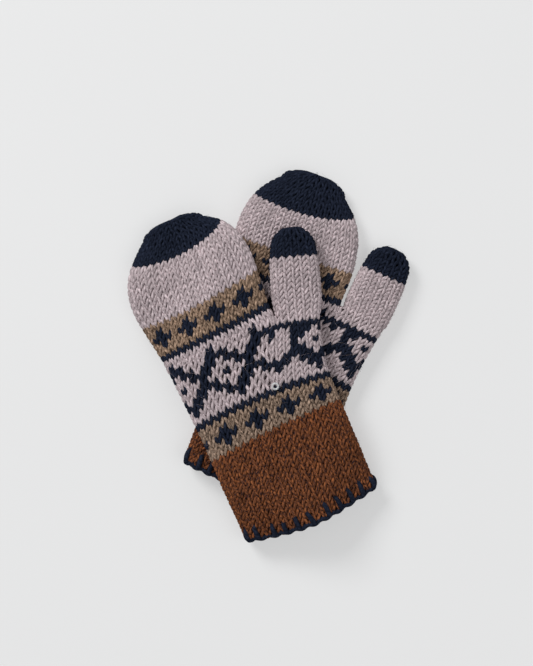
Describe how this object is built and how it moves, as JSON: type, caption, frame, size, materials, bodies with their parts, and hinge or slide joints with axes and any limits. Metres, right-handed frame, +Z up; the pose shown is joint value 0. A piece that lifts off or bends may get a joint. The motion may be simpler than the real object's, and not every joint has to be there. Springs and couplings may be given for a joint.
{
  "type": "knitted mittens",
  "caption": "Pair of knitted wool mittens lying crossed, each a tube of colour bands with a patterned palm, pointed tip, gusset thumb and stitched cuff.",
  "frame": {"origin": "the middle of the pair on the surface that it lies on", "axes": "+Y towards the finger tips along the pair, +Z up from the surface, +X to the thumbs side"},
  "size_m": [0.2138, 0.2876, 0.0377],
  "materials": {
    "rust_tweed_wool": "hand-knit tweed wool, matt",
    "navy_wool": "hand-knit wool, matt",
    "taupe_wool": "hand-knit heather wool, matt",
    "ochre_wool": "hand-knit heather wool, matt",
    "pale_wool": "hand-knit heather wool, slightly fuzzy",
    "clear_plastic": "clear moulded nylon"
  },
  "bodies": {
    "lower_palm": {"lower_lower_cross_band": "taupe_wool", "lower_lattice_band": "pale_wool", "lower_thumb_gusset": "pale_wool"},
    "lower_fingers": {"lower_upper_cross_band": "ochre_wool", "lower_plain_band": "pale_wool", "lower_tip_cap": "navy_wool", "lower_tip_gather": "navy_wool"},
    "lower_thumb": {"lower_thumb_tube": "pale_wool", "lower_thumb_cap": "navy_wool", "lower_thumb_gather": "navy_wool"},
    "lower_cuff": {"lower_cuff": "rust_tweed_wool", "lower_blanket_stitch": "navy_wool"},
    "upper_palm": {"upper_lower_cross_band": "taupe_wool", "upper_lattice_band": "pale_wool", "upper_thumb_gusset": "pale_wool", "upper_tag_loop": "clear_plastic"},
    "upper_fingers": {"upper_upper_cross_band": "ochre_wool", "upper_plain_band": "pale_wool", "upper_tip_cap": "navy_wool", "upper_tip_gather": "navy_wool"},
    "upper_thumb": {"upper_thumb_tube": "pale_wool", "upper_thumb_cap": "navy_wool", "upper_thumb_gather": "navy_wool"},
    "upper_cuff": {"upper_cuff": "rust_tweed_wool", "upper_blanket_stitch": "navy_wool"}
  },
  "joints": [
    {"name": "upper_lift", "type": "slide", "parent": "lower_palm", "child": "upper_palm", "axis": [0, 0, 1], "range_m": [0, 0.15]},
    {"name": "lower_finger_fold", "type": "hinge", "parent": "lower_palm", "child": "lower_fingers", "pos_m": [0.01384, 0.05474, 0.0161], "axis": [0.9397, -0.342, 0], "range_deg": [0, 70]},
    {"name": "lower_thumb_fold", "type": "hinge", "parent": "lower_palm", "child": "lower_thumb", "pos_m": [0.0723, 0.02878, 0.01582], "axis": [0.91, -0.4147, 0], "range_deg": [0, 45]},
    {"name": "lower_cuff_fold", "type": "hinge", "parent": "lower_palm", "child": "lower_cuff", "pos_m": [0.00717, -0.02935, 0.0161], "axis": [-0.9397, 0.342, 0], "range_deg": [0, 45]},
    {"name": "upper_finger_fold", "type": "hinge", "parent": "upper_palm", "child": "upper_fingers", "pos_m": [-0.03811, 0.01481, 0.0326], "axis": [0.899, 0.438, 0], "range_deg": [0, 70]},
    {"name": "upper_thumb_fold", "type": "hinge", "parent": "upper_palm", "child": "upper_thumb", "pos_m": [0.02237, 0.03139, 0.03232], "axis": [0.9972, 0.075, 0], "range_deg": [0, 45]},
    {"name": "upper_cuff_fold", "type": "hinge", "parent": "upper_palm", "child": "upper_cuff", "pos_m": [0.00599, -0.05479, 0.03252], "axis": [-0.9205, -0.3907, 0], "range_deg": [0, 45]}
  ],
  "couplings": [
    {"joint": "lower_finger_fold", "follows": "upper_lift", "rad_per_m": 8.1},
    {"joint": "lower_cuff_fold", "follows": "upper_lift", "rad_per_m": 5.2}
  ]
}
